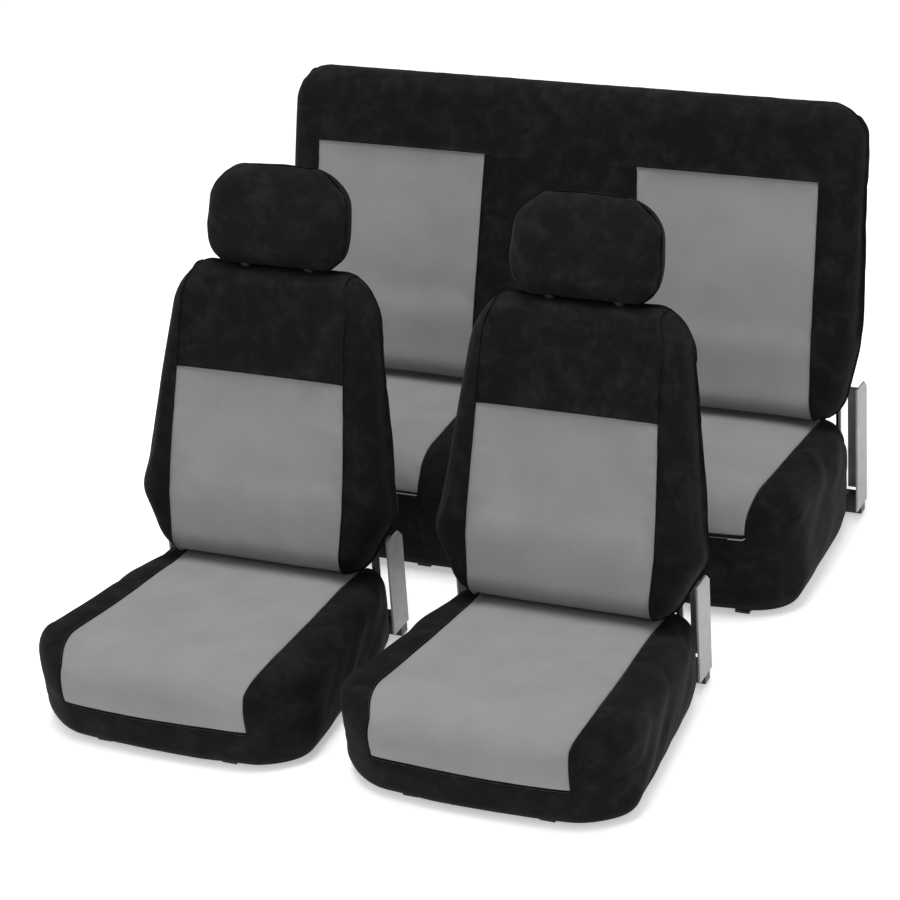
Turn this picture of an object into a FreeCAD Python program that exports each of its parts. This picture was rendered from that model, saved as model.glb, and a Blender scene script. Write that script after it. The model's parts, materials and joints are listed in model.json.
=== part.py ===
import FreeCAD, Part
import math
import os
import re
import Sketcher

# A set of fitted car seat covers on the seat forms that hold them: two reclining front seats with
# sliding head restraints and one wide rear bench whose backrest folds forward.
# Millimetres. +X is the sitter's left to right as seen from the front, the seats face -Y, +Z is up.
# The origin is on the floor under the middle of the whole set.

document = FreeCAD.newDocument("seat_cover_set")

DIMENSIONS = {
    # the set
    "beyond": 2000,                # farther than any seat reaches, for cutting
    "cut_past": 1,                 # how far a cut runs past the face it opens
    "row_pitch": 786,              # recline axis of the front row to the fold axis of the bench
    "seat_spacing": 645,           # middle of one front seat to the middle of the other
    # sewn covers
    "cover": 3,                    # laminated fabric and its foam backing
    "ease": 0.3,                   # between a cover and the foam that fills it
    "hem_lip": 62,                 # how far a cushion cover is drawn in under the seat
    "hem_height": 8,               # underside of a cushion cover above the floor
    "elastic_inset": 53,
    "elastic_width": 8,
    "elastic_rise": 2,
    "strap_width": 25,
    "strap_thick": 1.6,
    "strap_reach": 75,             # middle of a seat to the middle of each strap
    "strap_end_gap": 1,            # strap end to the outer edge of the elastic
    "buckle_length": 30,
    "buckle_wall": 4,
    # shared metalwork
    "skid_rise": 6,
    "skid_width": 30,
    "skid_end_gap": 40,            # from the front of a cushion to the ends of the skids
    "front_skid_reach": 120,       # middle of a front seat to the inner side of a skid
    "riser_length": 60,
    "riser_back_share": 0.25,      # of the cushion's depth, to the middle of the rear riser
    "riser_front_share": 0.7,
    "pan_height": 30,              # underside of a seat pan above the floor
    "pan_rise": 18,
    "pan_wall": 3,
    "pan_inset": 66,
    "back_bar_near": 66,           # cross bar behind the cushion, from the recline axis
    "back_bar_far": 92,
    "back_bar_top": 48,
    "bracket_thick": 5,
    "bracket_inset": 18,           # from the side of the backrest's foot to the outer bracket face
    "bracket_eye": 23,
    "bracket_chin": 18,
    "bracket_shoulder": 40,
    "bracket_step": 4,             # of a bracket's neck above the cushion top
    "bracket_slot_ease": 3,
    "slot_front": 36,
    "slot_rise": 48,
    "pin_radius": 8,
    "pin_length": 50,
    "pin_play": 0.05,
    "pin_end_gap": 2,
    "boss_radius": 15,
    "swing_gap": 2,                # from the turning end of a backrest to the cushion below it
    "end_swing": 8,                # of the rounded corner of that end beyond its flat
    "frame_bar": 26,
    "frame_foot": 20,
    "frame_half_thick": 12,
    "frame_inset": 34,             # from the side of the backrest's foot to the frame inside it
    "frame_top_inset": 60,
    "shroud_outset": 36,           # outside the backrest's foot
    "shroud_wall": 4,
    "shroud_depth": 46,
    "shroud_corner": 18,
    "shroud_corner_inner": 19,     # from the outside, so that the wall keeps its thickness
    "shroud_foot_cut": 20,
    "shroud_front": 26,
    "shroud_back": 112,
    "shroud_low": 30,
    "shroud_top_drop": 34,
    "shroud_below_axis": 4,
    # backrests
    "end_reach": 60,               # half the thickness of a backrest's lower end
    "end_round": 42,
    "front_lean": 16,
    "front_rise": 528,
    "front_foot_half": 214,
    "front_waist_half": 266,
    "front_waist_rise": 84,
    "front_shoulder_half": 216,
    "front_shoulder_rise": 446,
    "front_crown_half": 150,
    "front_top_front": 52,
    "front_top_back": 44,
    "front_insert_foot": 182,
    "front_insert_waist": 193,
    "front_insert_top": 183,
    "front_insert_rise": 320,
    "front_yoke_top": 178,
    "bench_lean": 12,
    "bench_rise": 600,
    "bench_foot_half": 612,
    "bench_waist_half": 653,
    "bench_waist_rise": 100,
    "bench_shoulder_half": 646,
    "bench_shoulder_rise": 545,
    "bench_crown_half": 600,
    "bench_top_front": 50,
    "bench_top_back": 44,
    "bench_insert_rise": 441,
    "bench_insert_inner_top": 172,
    "bench_insert_outer_top": 564,
    "bench_insert_inner_foot": 194,
    "bench_insert_outer_foot": 570,
    "rear_seam": 8,                # seam between the front and the rear panels, behind the axis
    "mouth_half": 12,              # open slit in a backrest cover's lower end
    "closure_half": 15,
    "closure_inset": 44,
    "closure_thick": 2,
    # cushions, measured ahead of the axis and up from the floor
    "front_seat_height": 168,
    "front_nose_height": 200,
    "front_nose_reach": 430,
    "front_face_height": 150,
    "front_depth": 512,
    "front_tail": 62,
    "front_tail_half": 228,
    "front_hip_half": 256,
    "front_hip_reach": 70,
    "front_knee_half": 283,
    "front_knee_reach": 400,
    "front_tip_half": 232,
    "front_pad_insert_tail": 188,
    "front_pad_insert_tip": 212,
    "front_pad_seam_height": 88,
    "bench_seat_height": 243,
    "bench_nose_height": 258,
    "bench_nose_reach": 370,
    "bench_face_height": 195,
    "bench_depth": 458,
    "bench_tail": 62,
    "bench_tail_half": 614,
    "bench_hip_half": 640,
    "bench_hip_reach": 70,
    "bench_knee_half": 648,
    "bench_knee_reach": 330,
    "bench_tip_half": 606,
    "bench_pad_inner_tail": 194,
    "bench_pad_outer_tail": 570,
    "bench_pad_inner_tip": 149,
    "bench_pad_outer_tip": 561,
    "bench_pad_seam_height": 190,
    "pad_round": 38,
    "toe_in": 14,                  # how far a cushion's front face draws back at its hem
    "overrun": 10,                 # how far a seam outline runs past the edge of the cover
    # head restraints, measured from the top of the backrest
    "head_gap": 7,
    "head_rise": 187,
    "head_foot_half": 118,
    "head_cheek_half": 147,
    "head_cheek_rise": 70,
    "head_brow_half": 132,
    "head_brow_rise": 140,
    "head_crown_half": 96,
    "head_front": 50,
    "head_foot_inset": 6,
    "head_front_rise": 85,
    "head_back": 46,
    "head_top_front": 34,
    "head_top_back": 36,
    "head_round": 32,
    "head_seam": 12,               # seam round the front face, ahead of the post line
    "head_mouth_half": 6.5,
    "head_closure_half": 8,
    "head_mouth_reach": 78,
    "post_radius": 6,
    "post_half_spread": 70,
    "post_up": 110,
    "post_down": 150,
    "guide_wall": 4,
    "guide_ease": 0.3,
    "collar_radius": 15,
    "collar_rise": 4,
    "post_play": 0.08,
}

sheet = document.addObject("Spreadsheet::Sheet", "Sizes")
for row, (alias, value) in enumerate(DIMENSIONS.items(), start=1):
    sheet.set(f"A{row}", alias)
    sheet.set(f"B{row}", str(value))
    sheet.setAlias(f"B{row}", alias)
document.recompute()


def linked(text):
    """An expression in plain size names, as the document reads it."""
    return re.sub(r"[a-z_]+", lambda word: "Sizes." + word.group(0) if word.group(0) in DIMENSIONS
                  else word.group(0), text)


def bind(feature, name, text):
    feature.setExpression(name, linked(text))


# outlines and solids

def mirrored(points):
    """The points of one half of an outline, then the same ones on the other side."""
    other = [(f"-({across})", along, -inward, up) for across, along, inward, up in reversed(points)]
    return points + other


def drawn_in(points, inset):
    """An outline moved inward: each point goes by the inset in its own inward direction."""
    return [(f"{across} + ({inward}) * ({inset})", f"{along} + ({up}) * ({inset})")
            for across, along, inward, up in points]


def rectangle(left, right, low, high):
    return [(left, low), (right, low), (right, high), (left, high)]


ROUGH_SIZE = 100    # of a loop before its constraints set it
START_TILT = 10     # degrees, until the lean is bound to it


def sketch_on(body, plane, loops, name, offset="0"):
    """A sketch of closed straight-sided loops on one of the body's own origin planes."""
    sketch = body.newObject("Sketcher::SketchObject", name)
    origin = [feature for feature in body.Origin.OriginFeatures if feature.Role == plane][0]
    sketch.AttachmentSupport = [(origin, "")]
    sketch.MapMode = "FlatFace"
    bind(sketch, "AttachmentOffset.Base.z", offset)
    for corners in loops:
        first = sketch.GeometryCount
        count = len(corners)
        ring = [FreeCAD.Vector(math.cos(math.tau * i / count), math.sin(math.tau * i / count), 0)
                for i in range(count)]
        for i in range(count):
            sketch.addGeometry(Part.LineSegment(ring[i] * ROUGH_SIZE, ring[(i + 1) % count] * ROUGH_SIZE))
        for i, corner in enumerate(corners):
            following = first + (i + 1) % count
            sketch.addConstraint(Sketcher.Constraint("Coincident", first + i, 2, following, 1))
            for kind, text in zip(("DistanceX", "DistanceY"), corner):
                index = sketch.addConstraint(
                    Sketcher.Constraint(kind, -1, 1, first + i, 1, 1.0))
                bind(sketch, f"Constraints[{index}]", text)
    return sketch


def prism(name, plane, loops, low, high):
    """Straight-sided loops drawn on a plane and padded from one distance along it to another."""
    body = document.addObject("PartDesign::Body", name)
    start = f"-({high})" if plane == "XZ_Plane" else low
    sketch = sketch_on(body, plane, loops, name + "_outline", start)
    pad = body.newObject("PartDesign::Pad", name + "_pad")
    pad.Profile = sketch
    bind(pad, "Length", f"({high}) - ({low})")
    return body


def block(name, side, face_plane, face, round_over, inset):
    """A padded block: a side outline padded across, cut to a face outline, all edges rounded."""
    body = document.addObject("PartDesign::Body", name)
    profile = sketch_on(body, "YZ_Plane", [drawn_in(side, inset)], name + "_side")
    pad = body.newObject("PartDesign::Pad", name + "_across")
    pad.Profile = profile
    pad.Midplane = True
    bind(pad, "Length", "beyond")
    ring = rectangle("-beyond", "beyond", "-beyond", "beyond")
    outline = sketch_on(body, face_plane, [ring, drawn_in(face, inset)], name + "_face")
    trim = body.newObject("PartDesign::Pocket", name + "_trim")
    trim.Profile = outline
    trim.Type = "ThroughAll"
    trim.Midplane = True
    document.recompute()
    rounding = body.newObject("PartDesign::Fillet", name + "_rounding")
    rounding.Base = (trim, [""])
    rounding.UseAllEdges = True
    bind(rounding, "Radius", f"{round_over} - ({inset})")
    body.Tip = rounding
    return body


def box(name, left, right, near, far, low, high):
    solid = document.addObject("Part::Box", name)
    for size, start, end in (("Length", left, right), ("Width", near, far), ("Height", low, high)):
        bind(solid, size, f"({end}) - ({start})")
    for axis, start in (("x", left), ("y", near), ("z", low)):
        bind(solid, f"Placement.Base.{axis}", start)
    return solid


def cylinder(name, radius, length, x, y, z, along_x=False):
    solid = document.addObject("Part::Cylinder", name)
    bind(solid, "Radius", radius)
    bind(solid, "Height", length)
    if along_x:
        solid.Placement.Rotation = FreeCAD.Rotation(FreeCAD.Vector(0, 1, 0), 90)
    for axis, start in (("x", x), ("y", y), ("z", z)):
        bind(solid, f"Placement.Base.{axis}", start)
    return solid


def both_sides(name, inner, outer, near, far, low, high):
    """A box on each side of the middle plane, between two distances from it."""
    right = box(name + "_right", inner, outer, near, far, low, high)
    left = box(name + "_left", f"-({outer})", f"-({inner})", near, far, low, high)
    return group(name, [left, right])


def group(name, solids):
    compound = document.addObject("Part::Compound", name)
    compound.Links = solids
    return compound


def combined(kind, name, base, tool):
    """Part::Cut, Part::Common or Part::Fuse of two objects."""
    result = document.addObject("Part::" + kind, name)
    result.Base = base
    result.Tool = tool
    return result


subparts = []


def set_in_place(feature, label, x, y, z="0", lean=None):
    """One sub-part of the set: a seat's own piece, named and placed; a lean tips it back."""
    piece = document.addObject("Part::Compound", label)
    piece.Links = [feature]
    piece.Label = label
    if lean is not None:
        piece.Placement.Rotation = FreeCAD.Rotation(FreeCAD.Vector(-1, 0, 0), START_TILT)
        bind(piece, "Placement.Rotation.Angle", lean)
    for axis, text in (("x", x), ("y", y), ("z", z)):
        bind(piece, f"Placement.Base.{axis}", text)
    subparts.append(piece)


# outlines shared by the seats
# A point is (across, along, inward, up): the last two say which way it goes when it is drawn in.
# k is "front" or "bench".

def backrest_side(k):
    return [("-end_reach", "-end_reach", 1, 1),
            ("end_reach", "-end_reach", -1, 1),
            (f"{k}_top_back", f"{k}_rise", -1, -1),
            (f"-{k}_top_front", f"{k}_rise", 1, -1)]


def backrest_face(k):
    return mirrored([(f"{k}_foot_half", "-end_reach", -1, 1),
                     (f"{k}_waist_half", f"{k}_waist_rise", -1, 0),
                     (f"{k}_shoulder_half", f"{k}_shoulder_rise", -1, 0),
                     (f"{k}_crown_half", f"{k}_rise", -1, -1)])


def cushion_side(k):
    return [(f"{k}_tail", "hem_height", -1, 1),
            (f"{k}_tail", f"{k}_seat_height", -1, -1),
            (f"-{k}_nose_reach", f"{k}_nose_height", 0, -1),
            (f"-{k}_depth", f"{k}_face_height", 1, 0),
            (f"-{k}_depth + toe_in", "hem_height", 1, 1)]


def cushion_plan(k):
    return mirrored([(f"{k}_tail_half", f"{k}_tail", -1, -1),
                     (f"{k}_hip_half", f"-{k}_hip_reach", -1, 0),
                     (f"{k}_knee_half", f"-{k}_knee_reach", -1, 0),
                     (f"{k}_tip_half", f"-{k}_depth", -1, 1)])


def head_base():
    return "front_rise + head_gap"


def head_side():
    base = head_base()
    return [("-head_front + head_foot_inset", base, 1, 1),
            ("head_back - head_foot_inset", base, -1, 1),
            ("head_back", f"{base} + head_front_rise", -1, 0),
            ("head_top_back", f"{base} + head_rise", -1, -1),
            ("-head_top_front", f"{base} + head_rise", 1, -1),
            ("-head_front", f"{base} + head_front_rise", 1, 0)]


def head_face():
    base = head_base()
    return mirrored([("head_foot_half", base, -1, 1),
                     ("head_cheek_half", f"{base} + head_cheek_rise", -1, 0),
                     ("head_brow_half", f"{base} + head_brow_rise", -1, 0),
                     ("head_crown_half", f"{base} + head_rise", -1, -1)])


def axis_height(k):
    """The cushion's sloping top below the axis, then room for the backrest's end to turn."""
    slope = f"({k}_nose_height - {k}_seat_height) / ({k}_nose_reach + {k}_tail)"
    return f"({k}_seat_height + {slope} * {k}_tail + end_reach + end_swing + swing_gap)"


# the base and the cushion

def base_frame(k, skid_reaches):
    """Flat skids with short risers under the pan, and the cross bar that carries the hinges."""
    ends = f"-({k}_depth - skid_end_gap)"
    boxes = []
    for reach in skid_reaches:
        for side, (left, right) in (("right", (reach, f"{reach} + skid_width")),
                                    ("left", (f"-({reach} + skid_width)", f"-({reach})"))):
            name = f"{k}_skid_{side}"
            boxes.append(box(name, left, right, ends, "back_bar_far", "0", "skid_rise"))
            for spot in ("riser_back_share", "riser_front_share"):
                near = f"-({k}_depth) * {spot} - riser_length / 2"
                boxes.append(box(name + "_riser", left, right, near, f"{near} + riser_length",
                                 "skid_rise", "pan_height + pan_rise - pan_wall"))
    reach = f"{k}_foot_half + shroud_outset - shroud_wall"
    boxes.append(box(f"{k}_back_bar", f"-({reach})", reach, "back_bar_near", "back_bar_far",
                     "skid_rise", "back_bar_top"))
    frame = document.addObject("Part::MultiFuse", f"{k}_base_frame")
    frame.Shapes = boxes
    return frame


def seat_pan(k):
    """A pressed pan, hollow below, that the cushion foam lies on."""
    plan = cushion_plan(k)
    top = "pan_height + pan_rise"
    outer = prism(f"{k}_pan_outer", "XY_Plane", [drawn_in(plan, "pan_inset")], "pan_height", top)
    inner = prism(f"{k}_pan_inner", "XY_Plane", [drawn_in(plan, "pan_inset + pan_wall")],
                  "pan_height - cut_past", f"{top} - pan_wall")
    return combined("Cut", f"{k}_seat_pan", outer, inner)


def cushion_blocks(k):
    return [block(f"{k}_cushion_{name}", cushion_side(k), "XY_Plane", cushion_plan(k),
                  "pad_round", inset)
            for name, inset in (("skin", "0"), ("void", "cover"), ("foam", "cover + ease"))]


def cushion_hollow(k, void):
    """The inside of the cushion cover, open below."""
    opening = prism(f"{k}_cushion_opening", "XY_Plane", [drawn_in(cushion_plan(k), "hem_lip")],
                    "0", "hem_height + 2 * cover")
    return combined("Fuse", f"{k}_cushion_hollow", void, opening)


def cushion_core(k, foam):
    below = box(f"{k}_below_foam", "-beyond", "beyond", "-beyond", "beyond", "-beyond",
                "pan_height + pan_rise")
    return combined("Cut", f"{k}_cushion_core", foam, below)


def hem_elastic(k):
    """A flat elastic band laid round the drawn-in hem of the cushion cover."""
    plan = cushion_plan(k)
    loops = [drawn_in(plan, "elastic_inset"), drawn_in(plan, "elastic_inset + elastic_width")]
    return prism(f"{k}_hem_elastic", "XY_Plane", loops, "hem_height + cover",
                 "hem_height + cover + elastic_rise")


def hem_straps(k, reaches):
    """Straps that run under the seat from the front of the hem to the back, each with a buckle."""
    low = "hem_height + cover + elastic_rise"
    high = f"{low} + strap_thick"
    pieces = []
    for number, reach in enumerate(reaches):
        strap = box(f"{k}_strap_{number}", f"{reach} - strap_width / 2",
                    f"{reach} + strap_width / 2", f"-({k}_depth - elastic_inset - strap_end_gap)",
                    f"{k}_tail - elastic_inset - strap_end_gap", low, high)
        middle = f"-({k}_depth) / 2"
        buckle = box(f"{k}_buckle_{number}", f"{reach} - strap_width / 2 - buckle_wall",
                     f"{reach} + strap_width / 2 + buckle_wall",
                     f"{middle} - buckle_length / 2", f"{middle} + buckle_length / 2",
                     f"{low} - buckle_wall / 2", f"{high} + buckle_wall / 2")
        pieces += [strap, combined("Cut", f"{k}_slotted_buckle_{number}", buckle, strap)]
    return group(f"{k}_cushion_straps", pieces)


def hinge_brackets(k):
    """A gooseneck plate at each side, from the cross bar over the cushion's tail to the axis."""
    axis = axis_height(k)
    neck = f"{k}_seat_height + bracket_step"
    outline = [("back_bar_near", "back_bar_top"), ("back_bar_far", "back_bar_top"),
               ("back_bar_far", f"{neck} + 2 * bracket_eye"), ("bracket_shoulder", f"{axis} + bracket_eye"),
               ("-bracket_eye", f"{axis} + bracket_eye"),
               ("-bracket_eye", f"{axis} - bracket_chin"),
               ("back_bar_near", neck)]
    outer = f"{k}_foot_half - bracket_inset"
    inner = f"({outer} - bracket_thick)"
    plates = []
    for side, low, high, pin_from in (
            ("right", inner, f"({outer})", f"({outer}) - pin_length"),
            ("left", f"-({outer})", f"-{inner}", f"-({outer})")):
        plate = prism(f"{k}_bracket_{side}", "YZ_Plane", [outline], low, high)
        pin = cylinder(f"{k}_pin_{side}", "pin_radius", "pin_length", pin_from, "0", axis, True)
        plates.append(combined("Fuse", f"{k}_bracket_and_pin_{side}", plate, pin))
    return group(f"{k}_hinge_brackets", plates)


def hinge_covers(k):
    """Thin shrouds that wrap the rear corners of the seat below the backrest."""
    out = f"({k}_foot_half + shroud_outset)"
    top = f"{axis_height(k)} - shroud_below_axis"
    covers = []
    for side, sign in (("right", 1), ("left", -1)):
        plan = [(out, "shroud_front"), (out, "shroud_back - shroud_corner"),
                (f"{out} - shroud_corner", "shroud_back"), (f"{out} - shroud_depth", "shroud_back"),
                (f"{out} - shroud_depth", "shroud_back - shroud_wall"),
                (f"{out} - shroud_corner_inner", "shroud_back - shroud_wall"),
                (f"{out} - shroud_wall", "shroud_back - shroud_corner_inner"),
                (f"{out} - shroud_wall", "shroud_front")]
        wrap = prism(f"{k}_shroud_wrap_{side}", "XY_Plane",
                     [[(f"{sign} * ({across})", along) for across, along in plan]],
                     "shroud_low", top)
        outline = [("shroud_front", "shroud_low"), ("shroud_back - shroud_foot_cut", "shroud_low"),
                   ("shroud_back", "shroud_low + shroud_foot_cut"), ("shroud_back", f"{top} - shroud_top_drop"),
                   ("shroud_back - shroud_top_drop", top), ("shroud_front", top)]
        profile = prism(f"{k}_shroud_profile_{side}", "YZ_Plane", [outline], "-beyond",
                        "beyond")
        covers.append(combined("Common", f"{k}_shroud_{side}", wrap, profile))
    return group(f"{k}_hinge_covers", covers)


# the backrest
# Built upright with the recline axis as its origin.

def backrest_blocks(k):
    return [block(f"{k}_backrest_{name}", backrest_side(k), "XZ_Plane", backrest_face(k),
                  "end_round", inset)
            for name, inset in (("skin", "0"), ("void", "cover"), ("foam", "cover + ease"))]


def bracket_slots(k):
    """Room for the brackets, open at the rear and below, over the backrest's whole travel."""
    outer = f"{k}_foot_half - bracket_inset"
    return both_sides(f"{k}_bracket_slots", f"({outer}) - bracket_thick - bracket_slot_ease",
                      f"({outer}) + bracket_slot_ease", "-slot_front", "beyond",
                      "-beyond", "slot_rise")


def frame_bars(k, name, play):
    """The ring of the backrest's steel frame, with a boss at each side for the hinge pin."""
    half = f"({k}_foot_half - frame_inset)"
    loops = [rectangle(f"-{half} - {play}", f"{half} + {play}", f"-frame_foot - {play}",
                       f"{k}_rise - frame_top_inset + {play}"),
             rectangle(f"-{half} + frame_bar + {play}", f"{half} - frame_bar - {play}",
                       f"frame_foot + {play}", f"{k}_rise - frame_top_inset - frame_bar - {play}")]
    ring = prism(f"{k}_frame_ring_{name}", "XZ_Plane", loops, f"-frame_half_thick - {play}",
                 f"frame_half_thick + {play}")
    reach = f"{half} + frame_bar / 4 + {play}"
    bosses = [cylinder(f"{k}_boss_{name}", f"boss_radius + {play}", "frame_bar", start, "0", "0",
                       True)
              for start in (f"{reach} - frame_bar", f"-({reach})")]
    bars = document.addObject("Part::MultiFuse", f"{k}_frame_{name}")
    bars.Shapes = [ring] + bosses
    return bars


def guide_bores(name, radius, low, high):
    """Two upright cylinders on the post lines."""
    return group(name, [cylinder(f"{name}_{side}", radius, f"({high}) - ({low})",
                                 f"{sign} * post_half_spread", "0", low)
                        for side, sign in (("right", 1), ("left", -1))])


def backrest_frame(k, bars):
    reach = f"{k}_foot_half"
    bores = cylinder(f"{k}_pin_bore", "pin_radius + pin_play", f"2 * {reach}", f"-({reach})",
                     "0", "0", True)
    inner = f"({reach} - bracket_inset - pin_length - pin_end_gap)"
    gap = box(f"{k}_between_pins", f"-{inner}", inner, "-end_reach", "end_reach", "-end_reach",
              "end_reach")
    ends = combined("Cut", f"{k}_pin_bores", bores, gap)
    return combined("Cut", f"{k}_backrest_frame", bars, ends)


def backrest_hollow(k, void):
    """The inside of the backrest cover, open along a slit at its lower end."""
    mouth = box(f"{k}_mouth", f"-({k}_foot_half - closure_inset)", f"{k}_foot_half - closure_inset",
                "-mouth_half", "mouth_half", "-end_reach - cut_past", "-end_reach / 2")
    return combined("Fuse", f"{k}_backrest_hollow", void, mouth)


def closure(k):
    """A flap that closes the slit from inside."""
    low = "-end_reach + cover"
    return box(f"{k}_backrest_closure", f"-({k}_foot_half - closure_inset)",
               f"{k}_foot_half - closure_inset", "-closure_half", "closure_half",
               low, f"{low} + closure_thick")


def backrest_core(k, foam, bars):
    """The foam, cut out round the frame, the brackets, the flap and the pins."""
    below = box(f"{k}_below_back_foam", "-beyond", "beyond", "-beyond", "beyond", "-beyond",
                "-end_reach + cover + closure_thick + ease")
    pins = cylinder(f"{k}_pin_room", "boss_radius + ease", f"2 * {k}_foot_half",
                    f"-{k}_foot_half", "0", "0", True)
    middle = box(f"{k}_pin_room_gap", f"-({k}_foot_half) + frame_inset + 2 * frame_bar",
                 f"{k}_foot_half - frame_inset - 2 * frame_bar", "-end_reach", "end_reach",
                 "-end_reach", "end_reach")
    outside = both_sides(f"{k}_outside_slots", f"{k}_foot_half - bracket_inset", "beyond",
                         "-end_reach", "end_reach", "-end_reach", "end_reach")
    ends = combined("Cut", f"{k}_pin_room_ends", combined("Cut", f"{k}_pin_rooms", pins, middle),
                    outside)
    room = document.addObject("Part::MultiFuse", f"{k}_foam_room")
    room.Shapes = [bars, below, ends]
    trimmed = combined("Cut", f"{k}_foam_round_frame", foam, room)
    return combined("Cut", f"{k}_backrest_core", trimmed, bracket_slots(k))


# panels
# Each panel is cut from the solid block, so that its seams are straight, and then hollowed.

def hollowed(panels, tools):
    """The panels with the inside of the cover, and each slot or bore, cut out of them."""
    for name, panel in panels.items():
        for number, tool in enumerate(tools):
            panel = combined("Cut", f"{name}_hollowed_{number}", panel, tool)
        panels[name] = panel
    return panels


def front_backrest_panels(skin):
    """Insert below, yoke above it, a wing down each side and one rear panel."""
    rear_half = box("front_rear_half", "-beyond", "beyond", "rear_seam", "beyond", "-beyond",
                    "beyond")
    face = combined("Cut", "front_face_half", skin, rear_half)
    insert = prism("front_insert_outline", "XZ_Plane",
                   [[("-front_insert_foot", "-end_reach - overrun"),
                     ("front_insert_foot", "-end_reach - overrun"),
                     ("front_insert_waist", "front_waist_rise"),
                     ("front_insert_top", "front_insert_rise"),
                     ("-front_insert_top", "front_insert_rise"),
                     ("-front_insert_waist", "front_waist_rise")]], "-beyond",
                   "beyond")
    yoke = prism("front_yoke_outline", "XZ_Plane",
                 [[("-front_insert_top", "front_insert_rise"),
                   ("front_insert_top", "front_insert_rise"),
                   ("front_yoke_top", "front_rise + overrun"),
                   ("-front_yoke_top", "front_rise + overrun")]], "-beyond", "beyond")
    below_yoke = combined("Cut", "front_face_less_yoke", face, yoke)
    return {"backrest_cover_insert": combined("Common", "front_insert_panel", face, insert),
            "backrest_cover_yoke": combined("Common", "front_yoke_panel", face, yoke),
            "backrest_cover_wings": combined("Cut", "front_wing_panels", below_yoke, insert),
            "backrest_cover_rear": combined("Common", "front_rear_panel", skin, rear_half)}


def bench_backrest_panels(skin):
    """Two inserts in one dark surround, and one rear panel."""
    rear_half = box("bench_rear_half", "-beyond", "beyond", "rear_seam", "beyond", "-beyond",
                    "beyond")
    face = combined("Cut", "bench_face_half", skin, rear_half)
    loops = [[(f"{sign} * bench_insert_inner_foot", "-end_reach - overrun"),
              (f"{sign} * bench_insert_outer_foot", "-end_reach - overrun"),
              (f"{sign} * bench_insert_outer_top", "bench_insert_rise"),
              (f"{sign} * bench_insert_inner_top", "bench_insert_rise")] for sign in (1, -1)]
    inserts = group("bench_insert_outlines",
                    [prism("bench_insert_outline", "XZ_Plane", [loop], "-beyond", "beyond")
                     for loop in loops])
    return {"backrest_cover_inserts": combined("Common", "bench_insert_panels", face, inserts),
            "backrest_cover_surround": combined("Cut", "bench_surround_panel", face, inserts),
            "backrest_cover_rear": combined("Common", "bench_rear_panel", skin, rear_half)}


def front_cushion_panels(skin):
    """The seat insert, which runs on over the front edge, and the sides with the front apron."""
    loop = [("-front_pad_insert_tail", "beyond"), ("front_pad_insert_tail", "beyond"),
            ("front_pad_insert_tail", "-front_hip_reach"),
            ("front_pad_insert_tip", "-front_depth - overrun"),
            ("-front_pad_insert_tip", "-front_depth - overrun"),
            ("-front_pad_insert_tail", "-front_hip_reach")]
    insert = prism("front_pad_insert_outline", "XY_Plane", [loop], "front_pad_seam_height",
                   "beyond")
    return {"cushion_cover_insert": combined("Common", "front_pad_insert_panel", skin, insert),
            "cushion_cover_sides": combined("Cut", "front_pad_side_panel", skin, insert)}


def bench_cushion_panels(skin):
    loops = [[(f"{sign} * bench_pad_inner_tail", "beyond"),
              (f"{sign} * bench_pad_outer_tail", "beyond"),
              (f"{sign} * bench_pad_outer_tip", "-bench_depth - overrun"),
              (f"{sign} * bench_pad_inner_tip", "-bench_depth - overrun")] for sign in (1, -1)]
    inserts = group("bench_pad_insert_outlines",
                    [prism("bench_pad_insert_outline", "XY_Plane", [loop],
                           "bench_pad_seam_height", "beyond") for loop in loops])
    return {"cushion_cover_inserts": combined("Common", "bench_pad_insert_panels", skin, inserts),
            "cushion_cover_sides": combined("Cut", "bench_pad_side_panel", skin, inserts)}


# the head restraint

def head_posts(name, play):
    """Two posts joined by a cross piece inside the pad."""
    low = "front_rise - post_down"
    top = f"{head_base()} + post_up"
    radius = f"post_radius + {play}"
    rods = [cylinder(f"{name}_{side}", radius, f"{top} - ({low}) + {play}",
                     f"{sign} * post_half_spread", "0", low)
            for side, sign in (("right", 1), ("left", -1))]
    cross = cylinder(f"{name}_cross", radius, f"2 * (post_half_spread + post_radius + {play})",
                     f"-(post_half_spread + post_radius + {play})", "0", top, True)
    posts = document.addObject("Part::MultiFuse", name)
    posts.Shapes = rods + [cross]
    return posts


def head_guides():
    """A sleeve and collar for each post, set in the backrest's top bar."""
    low = "front_rise - frame_top_inset - frame_bar"
    radius = "post_radius + post_play + guide_wall"
    sleeves = guide_bores("guide_sleeves", radius, low, "front_rise")
    collars = guide_bores("guide_collars", "collar_radius", "front_rise",
                          "front_rise + collar_rise")
    bores = guide_bores("guide_holes", "post_radius + post_play", f"{low} - cut_past",
                        "front_rise + collar_rise + cut_past")
    outer = combined("Fuse", "guide_outers", sleeves, collars)
    return combined("Cut", "front_head_guides", outer, bores)


def guide_room():
    """What the sleeves and the posts need clear in the foam, the frame and the cover."""
    sleeve = "post_radius + post_play + guide_wall + guide_ease"
    low = "front_rise - frame_top_inset - frame_bar"
    wide = guide_bores("sleeve_room", sleeve, f"{low} - ease",
                       "front_rise + collar_rise")
    narrow = guide_bores("post_room", "post_radius + guide_ease",
                         "front_rise - post_down - guide_ease", "front_rise")
    return combined("Fuse", "guide_room", wide, narrow)


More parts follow.
